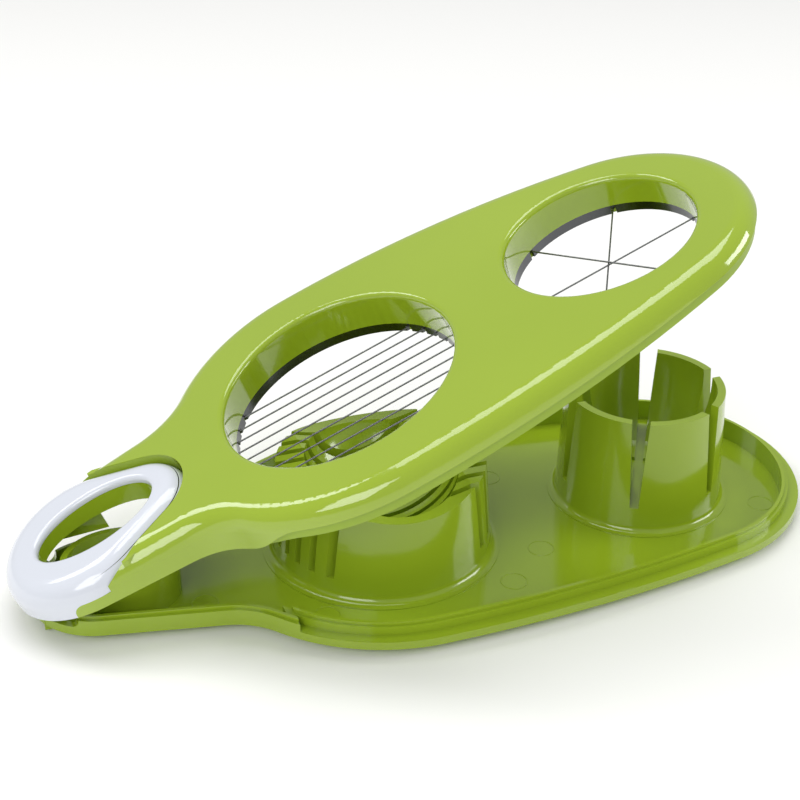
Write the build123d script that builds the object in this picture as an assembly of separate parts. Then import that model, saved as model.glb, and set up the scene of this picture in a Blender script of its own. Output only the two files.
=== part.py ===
from build123d import *

import math
import os

# Egg slicer and wedger. Millimetres, +Z up. The origin is on the underside of the tray, straight
# below the hinge axis, and the object runs along +X from the hinge to the blunt end.
# The lid is drawn closed, lying flat over the tray, and is turned open about the hinge at the end.

# Plan outlines: a round head whose sides lean outwards, a hollow waist, a belly and a blunt nose.
TRAY_OUTLINE = dict(head_x=15.0, head_r=20.5, lean=11.6, waist_r=22.0,
                    belly_x=100.0, belly_r=55.3, side_r=470.0, nose_x=188.5, nose_r=47.5)
LID_OUTLINE = dict(head_x=15.5, head_r=24.5, lean=3.5, waist_r=22.0,
                   belly_x=99.5, belly_r=55.0, side_r=350.0, nose_x=189.0, nose_r=42.0)

# Hinge
HINGE_Z = 7.3
OPEN_ANGLE = 22.4
PIN_R = 1.5
PIN_RUNNING_GAP = 0.05
EAR_WALL = 1.7
EAR_R = PIN_R + EAR_WALL
EAR_Y = 7.5
EAR_THICK = 2.5
BARREL_SIDE_GAP = 0.3
BARREL_WEB = EAR_R

# Where the two tools stand along the object
SLICER_X = 99.8
WEDGER_X = 185.7

# Tray
FLOOR_THICK = 1.5
FLANGE_Z = 2.4
FLANGE_TOP = 4.9
RIM_INSET = 3.4
RIM_THICK = 2.0
RIM_H = 8.4
RIM_LIP_STEP = 1.0
NECK_END_X = 62.0
NECK_WEB = 2.0
NOSE_CUT_X = 5.1
NOSE_CUT_Z = 5.1
NOSE_CUT_R = 2.0

# Collar of the hanging hole
COLLAR_X = 20.9
COLLAR_LONG = 17.1
COLLAR_WIDE = 15.6
COLLAR_WALL = 1.8
COLLAR_TOP = 13.0
COLLAR_SIDE_GAP = 0.6

# Slicing cradle
CRADLE_TOP_R = 31.0
CRADLE_TAPER = 2.0
CRADLE_TOP = 29.9
CRADLE_FOOT_FILLET = 3.0
CRADLE_SCOOP_R = 70.0
CRADLE_SCOOP_Z = 27.0
CRADLE_SLOT_W = 2.0
CRADLE_SLOT_Z = 7.9
BOWL_END_WALL = 9.0
BOWL_SIDE_WALL = 3.0
BOWL_LONG = CRADLE_TOP_R - BOWL_END_WALL
BOWL_WIDE = CRADLE_TOP_R - BOWL_SIDE_WALL
BOWL_DEEP = 19.0
BOWL_Z = 30.0

# Wedge cup
CUP_TOP_R = 24.4
CUP_TAPER = 1.5
CUP_FOOT_R = CUP_TOP_R + CUP_TAPER
CUP_TOP = 38.5
CUP_WALL = 2.5
CUP_BOWL_MID_R = 19.0
CUP_BOWL_MID_Z = 20.8
CUP_FLOOR_R = 13.0
CUP_SLOT_Z = 9.9
CUP_FLOOR_OVER_SLOT = 1.0
CUP_FLOOR_Z = CUP_SLOT_Z + CUP_FLOOR_OVER_SLOT
CUP_FOOT_FILLET = 2.5
CUP_SLOT_W = 2.6
CUP_SLOT_TOP_W = 5.5
CUP_SLOTS = 3
SKIRT_THICK = 0.3

# Lid: its top is a shallow arch along the object
LID_CREST_Z = 23.8
LID_CREST_X = 130.0
LID_ARCH_R = 1780.0
LID_NECK_Z = 9.9
LID_EDGE_Z = 16.9
LID_STRIP_Z = 13.1
LID_EDGE_START_X = 54.0
LID_EDGE_END_X = 70.0
LID_WALL = 2.0
LID_SHOULDER_R = 6.0
OPENING_LIP_R = 1.6
OPENING_WALL = 2.0
SWING_ROOM = 4.1
EGG_ROOM = 5.4
SLICER_OPENING_LONG = CRADLE_TOP_R + SWING_ROOM
SLICER_OPENING_WIDE = CRADLE_TOP_R + EGG_ROOM
WEDGER_OPENING_R = CUP_TOP_R + SWING_ROOM

# Head of the lid, under the hanging loop
DECK_Z = COLLAR_TOP + COLLAR_SIDE_GAP
DECK_THICK = 1.6
DECK_END_X = 52.0
LEDGE_THICK = 1.4
LEDGE_COLLAR_GAP = 2 * COLLAR_SIDE_GAP
LOOP_GAP = 0.1
SHELL_START_X = 17.5
UPSTAND_WALL = 1.6
UPSTAND_START_X = 24.0
LINER_WALL = 1.6
GUIDE_Y = COLLAR_WIDE + COLLAR_SIDE_GAP
GUIDE_THICK = 1.4
GUIDE_X = 9.0
GUIDE_LONG = 13.0
GUIDE_SHALLOW_Z = 8.7
GUIDE_DEEP_Z = 4.7

# Inner frame of the lid
FRAME_START_X = 57.0
FRAME_GAP = 0.3
FRAME_WALL = 2.0
FRAME_STRIP_INSET = 1.5
FRAME_PLATE_Z = 14.4
FRAME_PLATE_THICK = 1.8
SEAT_WALL = 2.0

# Cutting wires and the strip rings they are laced on
WIRE_R = 0.25
WIRE_Z = 11.1
WIRE_PITCH = 5.0
WIRE_RUNS = 10
WIRE_GRIP = 1.5
STRIP_INSET = 0.1
STRIP_THICK = 0.8
STRIP_H = 3.0
STRIP_BELOW_WIRE = 1.5
STRIP_Z = WIRE_Z - STRIP_BELOW_WIRE
NOTCH_SIDE_GAP = 0.5
OPENING_WALL_Z = STRIP_Z + STRIP_H
RETAINER_Z = STRIP_Z
RETAINER_WALL = 1.3

# Hanging loop, an egg-shaped cap over the hinge end, and its hole
LOOP_HEAD_X = LID_OUTLINE["head_x"]
LOOP_HEAD_R = LID_OUTLINE["head_r"]
LOOP_END_X = 33.5
LOOP_END_R = 16.0
LOOP_PROUD = 0.6
LOOP_WALL = 1.8
LOOP_TOP_THICK = 2.0
LOOP_STEP_X = 6.0
LOOP_STEP_R = 3.0
LOOP_SHOULDER_R = 6.5
LOOP_HOLE_ROUND = 1.5
HOLE_X = 21.1
HOLE_LONG = 18.5
HOLE_WIDE = 11.3

FAR = 400.0
EDGE_MATCH = 0.01


def pear(outline, inset=0.0):
    """Face of a plan outline, moved inwards by inset. Its lines and arcs meet tangentially."""
    head_x, belly_x, nose_x = outline["head_x"], outline["belly_x"], outline["nose_x"]
    lean = outline["lean"]
    head_r = outline["head_r"] - inset
    belly_r = outline["belly_r"] - inset
    nose_r = outline["nose_r"] - inset
    waist_r = outline["waist_r"] + inset
    side_r = outline["side_r"] - inset

    # centre of the hollow waist arc: touches the leaning side and the belly
    along = Vector(math.cos(math.radians(lean)), math.sin(math.radians(lean)))
    across = Vector(-along.Y, along.X)
    head = Vector(head_x, 0)
    belly = Vector(belly_x, 0)
    start = head + across * (head_r + waist_r) - belly
    reach = belly_r + waist_r
    on_line = start.dot(along)
    step = -on_line - math.sqrt(on_line ** 2 - start.dot(start) + reach ** 2)
    waist = belly + start + along * step
    belly_in = math.degrees(math.atan2(waist.Y, waist.X - belly_x))

    # centre of the long side arc, on the other side of the axis
    span = nose_x - belly_x
    side_to_belly = side_r - belly_r
    side_to_nose = side_r - nose_r
    side_dx = (side_to_belly ** 2 - side_to_nose ** 2 + span ** 2) / (2 * span)
    side_x = belly_x + side_dx
    side_y = -math.sqrt(side_to_belly ** 2 - side_dx ** 2)
    belly_out = math.degrees(math.atan2(-side_y, belly_x - side_x))
    nose_in = math.degrees(math.atan2(-side_y, nose_x - side_x))

    half = Curve() + [
        CenterArc((head_x, 0), head_r, 180, lean - 90),
        Line(head + across * head_r, waist - across * waist_r),
        CenterArc(waist, waist_r, lean - 90, belly_in - 90 - lean),
        CenterArc((belly_x, 0), belly_r, belly_in, belly_out - belly_in),
        CenterArc((side_x, side_y), side_r, belly_out, nose_in - belly_out),
        CenterArc((nose_x, 0), nose_r, nose_in, -nose_in),
    ]
    return make_face(half + mirror(half, about=Plane.XZ))


def loop_plan(grow=0.0):
    """Egg-shaped face round a large and a small circle joined by their common tangents."""
    head_r = LOOP_HEAD_R + grow
    end_r = LOOP_END_R + grow
    turn = math.degrees(math.acos((head_r - end_r) / (LOOP_END_X - LOOP_HEAD_X)))
    head_arc = CenterArc((LOOP_HEAD_X, 0), head_r, 180, turn - 180)
    end_arc = CenterArc((LOOP_END_X, 0), end_r, turn, -turn)
    half = Curve() + [head_arc, Line(head_arc @ 1, end_arc @ 0), end_arc]
    return make_face(half + mirror(half, about=Plane.XZ))


def hole_plan(grow=0.0):
    return oval(HOLE_X, HOLE_LONG + grow, HOLE_WIDE + grow)


def slab(face, low, high):
    return extrude(Pos(0, 0, low) * face, high - low)


def block(x_low, x_high, y_low, y_high, z_low, z_high):
    size = (x_high - x_low, y_high - y_low, z_high - z_low)
    centre = ((x_low + x_high) / 2, (y_low + y_high) / 2, (z_low + z_high) / 2)
    return Pos(*centre) * Box(*size)


def corner_along_y(body, x, z):
    """The straight edges of a block that run along Y at the given x and z."""
    return [edge for edge in body.edges().filter_by(Axis.Y)
            if abs(edge.center().X - x) + abs(edge.center().Z - z) < EDGE_MATCH]


def across_object(face):
    """An outline drawn in X and Z, carried right across the object in Y."""
    return extrude(Plane.XZ * face, FAR / 2, both=True)


def oval(centre_x, long, wide):
    return Pos(centre_x, 0) * Ellipse(long, wide)


def oval_ring(centre_x, long, wide, low, high, inner, outer):
    body = slab(oval(centre_x, long + outer, wide + outer), low, high)
    return body - slab(oval(centre_x, long + inner, wide + inner), low - 1, high + 1)


def hinge_rod(radius, y_low, y_high):
    rod = Cylinder(radius, y_high - y_low, rotation=(90, 0, 0))
    return Pos(0, (y_low + y_high) / 2, HINGE_Z) * rod


def both_sides(piece):
    return piece + mirror(piece, about=Plane.XZ)


# Tray: floor slab, a raised rim with a lip, a low flange round the belly and two hinge ears.
def base_tray():
    neck = block(-FAR, NECK_END_X, -FAR, FAR, -1, FAR)
    rim_line = pear(TRAY_OUTLINE, RIM_INSET)
    rim_inside = pear(TRAY_OUTLINE, RIM_INSET + RIM_THICK)
    rim = slab(rim_line, 0, RIM_H) - slab(rim_inside, FLOOR_THICK, FAR)
    flange = slab(pear(TRAY_OUTLINE), FLANGE_Z, FLANGE_TOP)
    flange -= slab(pear(TRAY_OUTLINE, RIM_INSET + RIM_THICK / 2), 0, FAR)
    neck_tray = slab(pear(TRAY_OUTLINE), FLANGE_Z, RIM_H) + slab(rim_line, 0, FLANGE_Z)
    neck_tray -= slab(rim_inside, FLOOR_THICK, FAR)
    neck_tray -= slab(pear(TRAY_OUTLINE, RIM_THICK), FLANGE_Z + FLOOR_THICK, FAR)
    shoulder_z = RIM_H - RIM_LIP_STEP
    rim -= slab(rim_line, shoulder_z, FAR) - slab(
        pear(TRAY_OUTLINE, RIM_INSET + RIM_THICK / 2), 0, FAR)
    neck_tray -= slab(pear(TRAY_OUTLINE), shoulder_z, FAR) - slab(
        pear(TRAY_OUTLINE, RIM_THICK / 2), 0, FAR)
    web = slab(pear(TRAY_OUTLINE), FLANGE_Z, shoulder_z) - slab(rim_inside, 0, FAR)
    web &= block(NECK_END_X - NECK_WEB, NECK_END_X, -FAR, FAR, 0, FAR)
    nose_cut = block(-FAR, NOSE_CUT_X, -FAR, FAR, NOSE_CUT_Z, FAR)
    corner = corner_along_y(nose_cut, NOSE_CUT_X, NOSE_CUT_Z)
    neck_tray = (neck_tray & neck) - fillet(corner, NOSE_CUT_R)
    tray = neck_tray + web + ((rim + flange) - neck)
    tray -= slab(oval(COLLAR_X, COLLAR_LONG - COLLAR_WALL, COLLAR_WIDE - COLLAR_WALL), -1, FAR)
    tray -= hinge_rod(EAR_R + BARREL_SIDE_GAP, -EAR_Y, EAR_Y)
    ear = hinge_rod(EAR_R, EAR_Y, EAR_Y + EAR_THICK)
    ear += block(-EAR_R, EAR_R, EAR_Y, EAR_Y + EAR_THICK, FLOOR_THICK / 2, HINGE_Z)
    ear -= hinge_rod(PIN_R, EAR_Y - 1, EAR_Y + EAR_THICK + 1)
    return tray + both_sides(ear)


# Collar: tall oval wall that stands on the floor round the hanging hole.
def hanging_collar():
    return oval_ring(COLLAR_X, COLLAR_LONG, COLLAR_WIDE, FLOOR_THICK, COLLAR_TOP, -COLLAR_WALL, 0)


def wire_offsets():
    return [(run - (WIRE_RUNS - 1) / 2) * WIRE_PITCH for run in range(WIRE_RUNS)]


def foot_rings(body, foot_r):
    """The circles where a turned wall meets its thin skirt on the floor."""
    foot_z = FLOOR_THICK + SKIRT_THICK
    rings = body.edges().filter_by(GeomType.CIRCLE)
    return [ring for ring in rings if abs(ring.radius - foot_r) < EDGE_MATCH
            and abs(ring.arc_center.Z - foot_z) < EDGE_MATCH]


# Cradle: round block with an egg-shaped bowl, cut into fins that the slicing wires pass between.
def slicing_cradle():
    foot_z = FLOOR_THICK + SKIRT_THICK
    foot_r = CRADLE_TOP_R + CRADLE_TAPER
    section = Polyline(
        (0, FLOOR_THICK),
        (foot_r + CRADLE_FOOT_FILLET, FLOOR_THICK),
        (foot_r + CRADLE_FOOT_FILLET, foot_z),
        (foot_r, foot_z),
        (CRADLE_TOP_R, CRADLE_TOP),
        (0, CRADLE_TOP),
        close=True,
    )
    cradle = revolve(Plane.XZ * make_face(section), Axis.Z)
    cradle = fillet(foot_rings(cradle, foot_r), CRADLE_FOOT_FILLET - 2 * SKIRT_THICK)
    cradle -= Pos(0, 0, BOWL_Z) * scale(Sphere(1), by=(BOWL_LONG, BOWL_WIDE, BOWL_DEEP))
    cradle -= Pos(0, 0, CRADLE_SCOOP_Z + CRADLE_SCOOP_R) * Cylinder(
        CRADLE_SCOOP_R, FAR, rotation=(90, 0, 0))
    for offset in wire_offsets():
        half = CRADLE_SLOT_W / 2
        cradle -= block(-FAR, FAR, offset - half, offset + half, CRADLE_SLOT_Z, FAR)
    return Pos(SLICER_X, 0, 0) * cradle


# Wedge cup: round tapered cup with a bowl inside, split by six slots for the crossed wires.
def wedge_cup():
    foot_z = FLOOR_THICK + SKIRT_THICK
    rim_r = CUP_TOP_R - CUP_WALL
    outside = Polyline(
        (0, FLOOR_THICK),
        (CUP_FOOT_R + CUP_FOOT_FILLET, FLOOR_THICK),
        (CUP_FOOT_R + CUP_FOOT_FILLET, foot_z),
        (CUP_FOOT_R, foot_z),
        (CUP_TOP_R, CUP_TOP),
        (rim_r, CUP_TOP),
    )
    bowl = ThreePointArc((rim_r, CUP_TOP), (CUP_BOWL_MID_R, CUP_BOWL_MID_Z),
                         (CUP_FLOOR_R, CUP_FLOOR_Z))
    bottom = Polyline((CUP_FLOOR_R, CUP_FLOOR_Z), (0, CUP_FLOOR_Z), (0, FLOOR_THICK))
    cup = revolve(Plane.XZ * make_face(Curve() + [outside, bowl, bottom]), Axis.Z)
    cup = fillet(foot_rings(cup, CUP_FOOT_R), CUP_FOOT_FILLET - 2 * SKIRT_THICK)
    slot_face = make_face(Polyline(
        (-CUP_SLOT_W / 2, CUP_SLOT_Z),
        (CUP_SLOT_W / 2, CUP_SLOT_Z),
        (CUP_SLOT_TOP_W / 2, CUP_TOP + 1),
        (-CUP_SLOT_TOP_W / 2, CUP_TOP + 1),
        close=True,
    ))
    slot = extrude(Plane.YZ * slot_face, FAR, both=True)
    for cut in range(CUP_SLOTS):
        cup -= Rot(0, 0, cut * 180 / CUP_SLOTS) * slot
    return Pos(WEDGER_X, 0, 0) * cup


def hinge_pin():
    return hinge_rod(PIN_R, -EAR_Y - EAR_THICK, EAR_Y + EAR_THICK)


def under_arch(depth=0.0):
    """Everything below the lid's arched top, lowered by depth."""
    arch = Cylinder(LID_ARCH_R - depth, FAR, rotation=(90, 0, 0))
    return Pos(LID_CREST_X, 0, LID_CREST_Z - LID_ARCH_R) * arch


def rounded_top(plan, depth, shoulder):
    """A plan raised to the arched top, with its upper edge rounded over."""
    body = slab(plan, 0, FAR) & under_arch(depth)
    top = [edge for edge in body.edges() if edge.bounding_box().min.Z > DECK_Z]
    return fillet(top, shoulder)


def below_edge(edge_z):
    """Everything under the lid's lower edge, which lifts from the neck to the belly."""
    neck_point = (LID_EDGE_START_X, LID_NECK_Z)
    belly_point = (LID_EDGE_END_X, edge_z)
    ramp = Spline(neck_point, belly_point, tangents=((1, 0), (1, 0)))
    rest = Polyline(belly_point, (FAR, edge_z), (FAR, -FAR), (-FAR, -FAR), (-FAR, LID_NECK_Z),
                    neck_point)
    return across_object(make_face(Curve() + [ramp, rest]))


def skirt_space():
    """Below the loop and behind its step, where the side of the lid shell runs."""
    space = block(LOOP_STEP_X, FAR, -FAR, FAR, -FAR, DECK_Z)
    return fillet(corner_along_y(space, LOOP_STEP_X, DECK_Z), LOOP_STEP_R)


def openings():
    return [
        (SLICER_X, SLICER_OPENING_LONG, SLICER_OPENING_WIDE),
        (WEDGER_X, WEDGER_OPENING_R, WEDGER_OPENING_R),
    ]


# Lid shell: glossy arched cover with a wall down through each opening, and the hinge head.
def lid_shell():
    shell = rounded_top(pear(LID_OUTLINE), 0, LID_SHOULDER_R)
    cavity = rounded_top(pear(LID_OUTLINE, LID_WALL), LID_WALL, LID_SHOULDER_R - LID_WALL)
    under = below_edge(LID_EDGE_Z)
    for centre, long, wide in openings():
        shell -= slab(oval(centre, long, wide), -1, FAR)
        lip = [edge for edge in shell.edges() if edge.bounding_box().min.Z > LID_EDGE_Z
               and abs(edge.bounding_box().max.Y - wide) < 1
               and abs(edge.bounding_box().center().X - centre) < 1]
        shell = fillet(lip, OPENING_LIP_R)
        wall = slab(oval(centre, long + OPENING_WALL, wide + OPENING_WALL), OPENING_WALL_Z, FAR)
        cavity -= wall
        under -= wall
    shell -= cavity
    shell -= under
    loop_room = slab(loop_plan(LOOP_GAP), -1, FAR)
    loop_room += block(-FAR, SHELL_START_X, -FAR, FAR, -1, FAR)
    shell -= loop_room - skirt_space()
    return shell + lid_head()


# Hinge head of the lid shell: deck under the loop, hole liner, guide plates and hinge barrel.
def lid_head():
    deck_top = DECK_Z + DECK_THICK
    inside_loop = -LOOP_WALL - LOOP_GAP
    head = slab(loop_plan(inside_loop), DECK_Z, deck_top)
    ledge = slab(pear(LID_OUTLINE, LID_WALL / 2), DECK_Z - LEDGE_THICK, DECK_Z)
    ledge &= block(LOOP_STEP_X + LOOP_STEP_R, DECK_END_X, -FAR, FAR, 0, FAR)
    ledge -= slab(oval(COLLAR_X, COLLAR_LONG + LEDGE_COLLAR_GAP, COLLAR_WIDE + LEDGE_COLLAR_GAP),
                  0, FAR)
    upstand = slab(loop_plan(LOOP_GAP + UPSTAND_WALL), DECK_Z - LEDGE_THICK / 2, FAR)
    upstand -= slab(loop_plan(LOOP_GAP), 0, FAR)
    upstand &= block(UPSTAND_START_X, FAR, -FAR, FAR, 0, FAR)
    upstand &= slab(pear(LID_OUTLINE, LID_WALL / 2), 0, FAR)
    upstand &= under_arch(LID_WALL / 2)
    head += ledge + upstand
    liner = slab(hole_plan(LINER_WALL), DECK_Z, FAR)
    head += liner & under_arch(LOOP_TOP_THICK - LOOP_PROUD + LOOP_GAP)
    head -= slab(hole_plan(), 0, FAR)
    guide = make_face(Polyline(
        (GUIDE_X, deck_top),
        (GUIDE_X, GUIDE_SHALLOW_Z),
        (GUIDE_X + GUIDE_LONG, GUIDE_DEEP_Z),
        (GUIDE_X + GUIDE_LONG, deck_top),
        close=True,
    ))
    guides = across_object(guide) & block(-FAR, FAR, GUIDE_Y, GUIDE_Y + GUIDE_THICK, 0, FAR)
    head += both_sides(guides)
    half_width = EAR_Y - BARREL_SIDE_GAP
    head += hinge_rod(EAR_R, -half_width, half_width)
    head += block(-BARREL_WEB / 2, BARREL_WEB / 2, -half_width, half_width, HINGE_Z, deck_top)
    head -= hinge_rod(PIN_R + PIN_RUNNING_GAP, -EAR_Y, EAR_Y)
    return head


# Lid frame: duller inner moulding whose edge is the strip under the shell, with two ring seats.
def lid_frame():
    plate_top = FRAME_PLATE_Z + FRAME_PLATE_THICK
    inside = LID_WALL + FRAME_GAP
    wall_inside = pear(LID_OUTLINE, inside + FRAME_WALL)
    frame = slab(pear(LID_OUTLINE, inside), 0, plate_top)
    frame -= slab(wall_inside, -1, FRAME_PLATE_Z)
    strip = slab(pear(LID_OUTLINE, FRAME_STRIP_INSET), 0, FAR) - slab(wall_inside, -1, FAR)
    strip &= below_edge(LID_EDGE_Z)
    frame = (frame + strip) & block(FRAME_START_X, FAR, -FAR, FAR, 0, FAR)
    frame -= below_edge(LID_STRIP_Z)
    for centre, long, wide in openings():
        clear = OPENING_WALL + FRAME_GAP / 2
        seat = OPENING_WALL + SEAT_WALL
        frame += oval_ring(centre, long, wide, OPENING_WALL_Z, plate_top, clear, seat)
        frame += oval_ring(centre, long, wide, WIRE_Z + WIRE_R, OPENING_WALL_Z,
                           STRIP_INSET + STRIP_THICK, seat)
        frame -= slab(oval(centre, long + clear, wide + clear), OPENING_WALL_Z, FAR)
    return frame


# Hanging loop: glossy cap over the hinge end of the lid, stepped down at the very end.
def hinge_loop():
    loop = rounded_top(loop_plan(), -LOOP_PROUD, LOOP_SHOULDER_R)
    loop -= slab(hole_plan(), -1, FAR)
    rim = [edge for edge in loop.edges() if edge.bounding_box().min.Z > DECK_Z
           and edge.bounding_box().max.Y < HOLE_WIDE + 1
           and edge.bounding_box().min.Y > -HOLE_WIDE - 1
           and edge.bounding_box().max.X < HOLE_X + HOLE_LONG + 1]
    loop = fillet(rim, LOOP_HOLE_ROUND)
    hollow = slab(loop_plan(-LOOP_WALL), -1, FAR) & under_arch(LOOP_TOP_THICK - LOOP_PROUD)
    loop -= hollow
    loop &= slab(loop_plan(), LID_NECK_Z, FAR)
    return loop - skirt_space()


def strip_ring(centre, long, wide, cuts):
    ring = oval_ring(centre, long, wide, STRIP_Z, OPENING_WALL_Z, STRIP_INSET,
                     STRIP_INSET + STRIP_THICK)
    for cut in cuts:
        ring -= cut
    return ring


def retainer(centre, long, wide):
    seat_outer = OPENING_WALL + SEAT_WALL
    low = oval_ring(centre, long, wide, RETAINER_Z, WIRE_Z - WIRE_R,
                    STRIP_INSET + STRIP_THICK, seat_outer + RETAINER_WALL)
    skirt = oval_ring(centre, long, wide, WIRE_Z - WIRE_R, FRAME_PLATE_Z,
                      seat_outer, seat_outer + RETAINER_WALL)
    return low + skirt


def straight_wire(centre_x, length, turn, offset=0.0, height=WIRE_Z):
    rod = Cylinder(WIRE_R, length, rotation=(0, 90, 0))
    return Pos(centre_x, 0, height) * Rot(0, 0, turn) * Pos(0, offset, 0) * rod


def wire_notch(centre_x, turn, offset=0.0, height=WIRE_Z):
    half = WIRE_R + NOTCH_SIDE_GAP
    notch = block(-FAR / 2, FAR / 2, offset - half, offset + half, 0, height + WIRE_R)
    return Pos(centre_x, 0, 0) * Rot(0, 0, turn) * notch


def slicer_run_length(offset):
    reach = STRIP_INSET + STRIP_THICK + WIRE_GRIP
    across = offset / (SLICER_OPENING_WIDE + reach)
    return 2 * (SLICER_OPENING_LONG + reach) * math.sqrt(1 - across ** 2)


# One wire laced to and fro, drawn as its straight cutting runs.
def slicer_wire():
    runs = [straight_wire(SLICER_X, slicer_run_length(offset), 0, offset)
            for offset in wire_offsets()]
    return Compound(children=runs)


def wedge_turn(number):
    return number * 180 / CUP_SLOTS


def wedge_height(number):
    """The crossed wires lie one on top of the other."""
    return WIRE_Z + number * 2 * WIRE_R


def wedge_wire(number):
    reach = WEDGER_OPENING_R + STRIP_INSET + STRIP_THICK
    return straight_wire(WEDGER_X, 2 * reach, wedge_turn(number), height=wedge_height(number))


def opened(piece):
    """Turn a piece of the closed lid up about the hinge axis."""
    return Pos(0, 0, HINGE_Z) * Rot(0, -OPEN_ANGLE, 0) * Pos(0, 0, -HINGE_Z) * piece


slicer_seat, wedger_seat = openings()
slicer_cuts = [wire_notch(SLICER_X, 0, offset) for offset in wire_offsets()]
wedger_cuts = [wire_notch(WEDGER_X, wedge_turn(number), height=wedge_height(number))
               for number in range(CUP_SLOTS)]
base = {
    "base_tray": base_tray(),
    "hanging_collar": hanging_collar(),
    "slicing_cradle": slicing_cradle(),
    "wedge_cup": wedge_cup(),
    "hinge_pin": hinge_pin(),
}
lid = {
    "lid_shell": lid_shell(),
    "lid_frame": lid_frame(),
    "hinge_loop": hinge_loop(),
    "slicer_ring": strip_ring(*slicer_seat, slicer_cuts),
    "slicer_wire": slicer_wire(),
    "slicer_retainer": retainer(*slicer_seat),
    "wedge_ring": strip_ring(*wedger_seat, wedger_cuts),
    "wedge_wire_1": wedge_wire(0),
    "wedge_wire_2": wedge_wire(1),
    "wedge_wire_3": wedge_wire(2),
    "wedge_retainer": retainer(*wedger_seat),
}
os.makedirs("parts", exist_ok=True)
for name, shape in base.items():
    export_step(shape, f"parts/{name}.step")
for name, shape in lid.items():
    export_step(opened(shape), f"parts/{name}.step")
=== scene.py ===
import math

import bpy
from mathutils import Matrix, Vector


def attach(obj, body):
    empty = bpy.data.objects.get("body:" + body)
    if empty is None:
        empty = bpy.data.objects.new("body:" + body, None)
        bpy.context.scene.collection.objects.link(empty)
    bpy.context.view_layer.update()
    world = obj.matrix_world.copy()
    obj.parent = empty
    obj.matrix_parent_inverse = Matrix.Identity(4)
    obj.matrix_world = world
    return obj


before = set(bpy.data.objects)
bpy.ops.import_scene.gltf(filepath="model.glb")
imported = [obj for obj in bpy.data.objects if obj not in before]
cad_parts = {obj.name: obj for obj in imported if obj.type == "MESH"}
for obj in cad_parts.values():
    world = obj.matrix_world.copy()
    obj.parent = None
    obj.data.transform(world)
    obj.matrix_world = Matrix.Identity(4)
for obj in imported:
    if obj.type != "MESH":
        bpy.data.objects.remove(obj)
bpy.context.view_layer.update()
bpy.ops.object.select_all(action="DESELECT")


# --- Tray ------------------------------------------------------------------------------------
# The tray, its collar, the slicing cradle and the wedge cup are one moulding in lime green ABS,
# injection moulded in a polished tool.

ABS_IOR = 1.54
COAT_ROUGHNESS = 0.03
SCUFFING = 0.06


def linear(hex_colour):
    """sRGB hex to the linear colour that a shader socket takes."""
    values = [int(hex_colour[i:i + 2], 16) / 255 for i in (1, 3, 5)]
    return [v / 12.92 if v <= 0.04045 else ((v + 0.055) / 1.055) ** 2.4 for v in values] + [1.0]


def add_node(material, kind, settings=None, links=None):
    """Adds one shader node, sets its properties and sockets, and links its inputs."""
    tree = material.node_tree
    node = tree.nodes.new(kind)
    for name, value in (settings or {}).items():
        if hasattr(node, name):
            setattr(node, name, value)
        else:
            node.inputs[name].default_value = value
    for name, source in (links or {}).items():
        tree.links.new(source, node.inputs[name])
    return node


def plain_material(name):
    material = bpy.data.materials.new(name)
    material.use_nodes = True
    return material, material.node_tree.nodes["Principled BSDF"]


def moulded_abs(name, colour, shade, roughness, grain_mm, grain_depth_mm, coat=0.0):
    """Injection-moulded ABS: a near-even colour that drifts a little with the melt's flow, over
    the very shallow waviness that a polished tool leaves."""
    material, shader = plain_material(name)
    tree = material.node_tree
    place = add_node(material, "ShaderNodeTexCoord").outputs["Object"]
    flow = add_node(material, "ShaderNodeTexNoise", {"Scale": 14.0, "Detail": 3.0},
                    {"Vector": place})
    ramp = add_node(material, "ShaderNodeValToRGB", links={"Fac": flow.outputs["Fac"]})
    ramp.color_ramp.elements[0].position = 0.3
    ramp.color_ramp.elements[0].color = linear(shade)
    ramp.color_ramp.elements[1].position = 0.7
    ramp.color_ramp.elements[1].color = linear(colour)
    tree.links.new(ramp.outputs["Color"], shader.inputs["Base Color"])
    waves = add_node(material, "ShaderNodeTexNoise", {"Scale": 1000.0 / grain_mm, "Detail": 2.0},
                     {"Vector": place})
    bump = add_node(material, "ShaderNodeBump", {"Strength": 1.0,
                                                 "Distance": grain_depth_mm / 1000.0},
                    {"Height": waves.outputs["Fac"]})
    tree.links.new(bump.outputs["Normal"], shader.inputs["Normal"])
    scuffs = add_node(material, "ShaderNodeTexNoise", {"Scale": 90.0, "Detail": 6.0,
                                                       "Roughness": 0.7}, {"Vector": place})
    wear = add_node(material, "ShaderNodeMapRange", {"From Min": 0.45, "From Max": 0.75,
                                                     "To Min": roughness,
                                                     "To Max": roughness + SCUFFING},
                    {"Value": scuffs.outputs["Fac"]})
    tree.links.new(wear.outputs["Result"], shader.inputs["Roughness"])
    shader.inputs["IOR"].default_value = ABS_IOR
    shader.inputs["Coat Weight"].default_value = coat
    shader.inputs["Coat Roughness"].default_value = COAT_ROUGHNESS
    return material


def assign(material, *names):
    for name in names:
        for material_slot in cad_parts[name].material_slots:
            material_slot.material = material


tray_abs = moulded_abs(
    "polished lime ABS, tray", "#90a923", "#8ba31f", 0.13, 6.0, 0.012, coat=0.3)

assign(tray_abs, "base_tray", "hanging_collar", "slicing_cradle", "wedge_cup")


# --- Ejector rings ---------------------------------------------------------------------------
# Where the ejector pins met the moulding, a fine ring 8 mm across stands proud of the tray's
# floor. The rings are part of the tray's moulding and have its colour.

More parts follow.
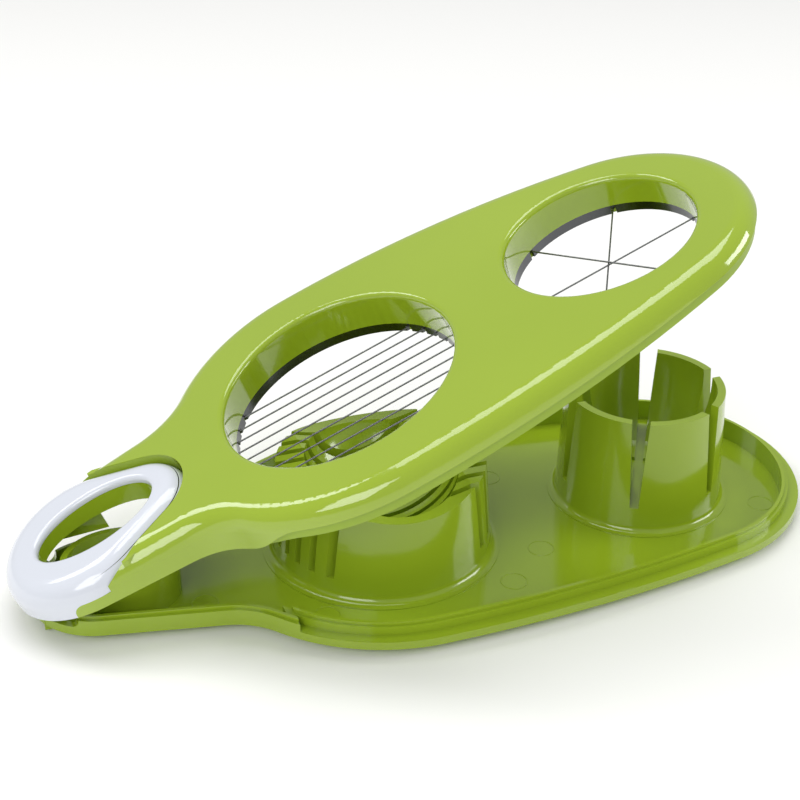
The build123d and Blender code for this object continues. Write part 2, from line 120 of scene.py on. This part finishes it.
RING_PLACES = [(0.1290, 0.0336), (0.1433, 0.0209), (0.0417, 0.0138), (0.0727, 0.0308),
               (0.2179, 0.0213)]
RING_R = 0.0040
RING_WIDTH = 0.00035
RING_RISE = 0.00012
RING_SINK = 0.0001
RING_WEAR = 0.00008
RING_SIDES = 72
RING_SMOOTH = math.radians(35)
TRAY_FLOOR_Z = 0.0015
WIDEN = RING_R / (RING_R - RING_WIDTH)
bpy.ops.mesh.primitive_circle_add(vertices=RING_SIDES, radius=RING_R - RING_WIDTH,
                                  fill_type="NOTHING",
                                  location=(0, 0, TRAY_FLOOR_Z - RING_SINK))
ring = bpy.context.object
bpy.ops.object.mode_set(mode="EDIT")
bpy.ops.mesh.select_all(action="SELECT")
bpy.ops.mesh.extrude_edges_move()
bpy.ops.transform.resize(value=(WIDEN, WIDEN, 1))
bpy.ops.mesh.select_all(action="SELECT")
bpy.ops.mesh.extrude_region_move(
    TRANSFORM_OT_translate={"value": (0, 0, RING_SINK + RING_RISE)})
bpy.ops.mesh.select_all(action="SELECT")
bpy.ops.mesh.normals_make_consistent(inside=False)
bpy.ops.object.mode_set(mode="OBJECT")
rounding = ring.modifiers.new("worn corners", "BEVEL")
rounding.width = RING_WEAR
rounding.segments = 2
bpy.ops.object.modifier_apply(modifier=rounding.name)
copies = []
for x, y in RING_PLACES:
    for side in (-1, 1):
        copy = ring.copy()
        copy.data = ring.data.copy()
        copy.location = (x, side * y, TRAY_FLOOR_Z - RING_SINK)
        bpy.context.collection.objects.link(copy)
        copies.append(copy)
bpy.data.objects.remove(ring)
bpy.ops.object.select_all(action="DESELECT")
for copy in copies:
    copy.select_set(True)
ejector_rings = copies[0]
bpy.context.view_layer.objects.active = ejector_rings
bpy.ops.object.join()
bpy.ops.object.transform_apply(location=True, rotation=True, scale=True)
bpy.ops.object.shade_smooth_by_angle(angle=RING_SMOOTH)
ejector_rings.name = "ejector_rings"
ejector_rings.data.materials.clear()
ejector_rings.data.materials.append(tray_abs)
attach(ejector_rings, "base")
bpy.ops.object.select_all(action="DESELECT")


# --- Lid shell -------------------------------------------------------------------------------
# The lid's cover is a separate moulding of the same lime ABS, with the highest gloss of all:
# it shows the room's lights as clear streaks along its rounded shoulder.

lid_abs = moulded_abs(
    "high-gloss lime ABS, lid shell", "#97b026", "#92ab22", 0.07, 9.0, 0.010, coat=0.6)
assign(lid_abs, "lid_shell")


# --- Lid frame and retainers -----------------------------------------------------------------
# The inner frame and the two rings pressed into it are moulded in a satin tool, so the strip
# that shows below the shell looks darker and duller than the shell itself.

frame_abs = moulded_abs(
    "satin lime ABS, inner frame", "#8fa926", "#8aa422", 0.32, 1.6, 0.012)
assign(frame_abs, "lid_frame", "slicer_retainer", "wedge_retainer")


# --- Hanging loop ----------------------------------------------------------------------------
# A cap of pale grey ABS clipped over the hinge end. It is polished like the lid shell.

loop_abs = moulded_abs(
    "polished pale grey ABS, loop", "#d6dae3", "#d1d5de", 0.10, 9.0, 0.010, coat=0.4)
assign(loop_abs, "hinge_loop")


# --- Strip rings, wires and pin ----------------------------------------------------------------
# Stainless strip, blanked and curled, holds hard-drawn stainless wire. The strip is bright
# rolled, with faint rolling lines, and the drawn wire and the pin are a little duller.

LINE_SPREAD = 0.10


def stainless(name, colour, roughness, line_mm):
    material, shader = plain_material(name)
    tree = material.node_tree
    place = add_node(material, "ShaderNodeTexCoord").outputs["Object"]
    stretched = add_node(material, "ShaderNodeMapping", {"Scale": (0.05, 0.05, 1.0)},
                         {"Vector": place})
    lines = add_node(material, "ShaderNodeTexNoise", {"Scale": 1000.0 / line_mm, "Detail": 2.0},
                     {"Vector": stretched.outputs["Vector"]})
    spread = add_node(material, "ShaderNodeMapRange", {"To Min": roughness,
                                                       "To Max": roughness + LINE_SPREAD},
                      {"Value": lines.outputs["Fac"]})
    tree.links.new(spread.outputs["Result"], shader.inputs["Roughness"])
    shader.inputs["Base Color"].default_value = linear(colour)
    shader.inputs["Metallic"].default_value = 1.0
    return material


# The strip's dark grey colour is a painted reflection: it stands in for the dark surroundings
# that the polished ring mirrors and that make it look black.
strip_steel = stainless("bright rolled stainless strip, painted dark reflection", "#5c5d5f", 0.14, 0.4)
wire_steel = stainless("hard-drawn stainless wire", "#77787a", 0.22, 0.2)
assign(strip_steel, "slicer_ring", "wedge_ring")
assign(wire_steel, "slicer_wire", "wedge_wire_1", "wedge_wire_2", "wedge_wire_3", "hinge_pin")


# --- Floor, light and camera -------------------------------------------------------------------
# A plain pale table, a large soft light overhead and a softbox on each side.

TABLE_SIZE = 6
TABLE_DROP = 0.0003
DAYLIGHT = 0.50
bpy.ops.mesh.primitive_plane_add(size=TABLE_SIZE, location=(0, 0, -TABLE_DROP))
table = bpy.context.object
table.name = "table"
table_paint, table_shader = plain_material("pale table")
table_shader.inputs["Base Color"].default_value = linear("#f4f4f2")
table_shader.inputs["Roughness"].default_value = 0.6
table.data.materials.append(table_paint)

world = bpy.data.worlds.new("studio")
bpy.context.scene.world = world
world.use_nodes = True
world.node_tree.nodes["Background"].inputs["Color"].default_value = (1, 1, 1, 1)
world.node_tree.nodes["Background"].inputs["Strength"].default_value = DAYLIGHT


def softbox(name, place, aim, size, watts):
    bpy.ops.object.light_add(type="AREA", location=place)
    lamp = bpy.context.object
    lamp.name = name
    lamp.data.shape = "RECTANGLE"
    lamp.data.size, lamp.data.size_y = size
    lamp.data.energy = watts
    lamp.rotation_euler = (Vector(aim) - Vector(place)).to_track_quat("-Z", "Y").to_euler()


softbox("overhead softbox", (0.12, 0.25, 1.00), (0.10, 0.0, 0.03), (0.8, 0.5), 4.4)
softbox("front left softbox", (-0.50, -0.62, 0.58), (0.05, -0.03, 0.03), (0.55, 0.50), 3.6)
softbox("back left softbox", (-0.50, 0.55, 0.75), (0.03, 0.0, 0.03), (0.30, 0.50), 2.2)
softbox("right softbox", (0.95, -0.22, 0.42), (0.20, 0.0, 0.06), (0.50, 0.28), 3.0)

# The view: the camera stands over the hinge end, left of the slicer, and looks along it.
CAMERA_PLACE = (-0.0456, -0.4073, 0.2975)
CAMERA_YAW = math.radians(-20.37)
CAMERA_TILT = math.radians(90 - 29.81)
CAMERA_ROLL = math.radians(0.43)
bpy.ops.object.camera_add()
camera = bpy.context.object
camera.matrix_world = (Matrix.Translation(CAMERA_PLACE) @ Matrix.Rotation(CAMERA_YAW, 4, "Z")
                       @ Matrix.Rotation(CAMERA_TILT, 4, "X")
                       @ Matrix.Rotation(CAMERA_ROLL, 4, "Z"))
camera.data.sensor_width = 36.0
camera.data.lens = 77.9
camera.data.clip_start = 0.01
bpy.context.scene.camera = camera
bpy.context.scene.view_settings.view_transform = "Standard"
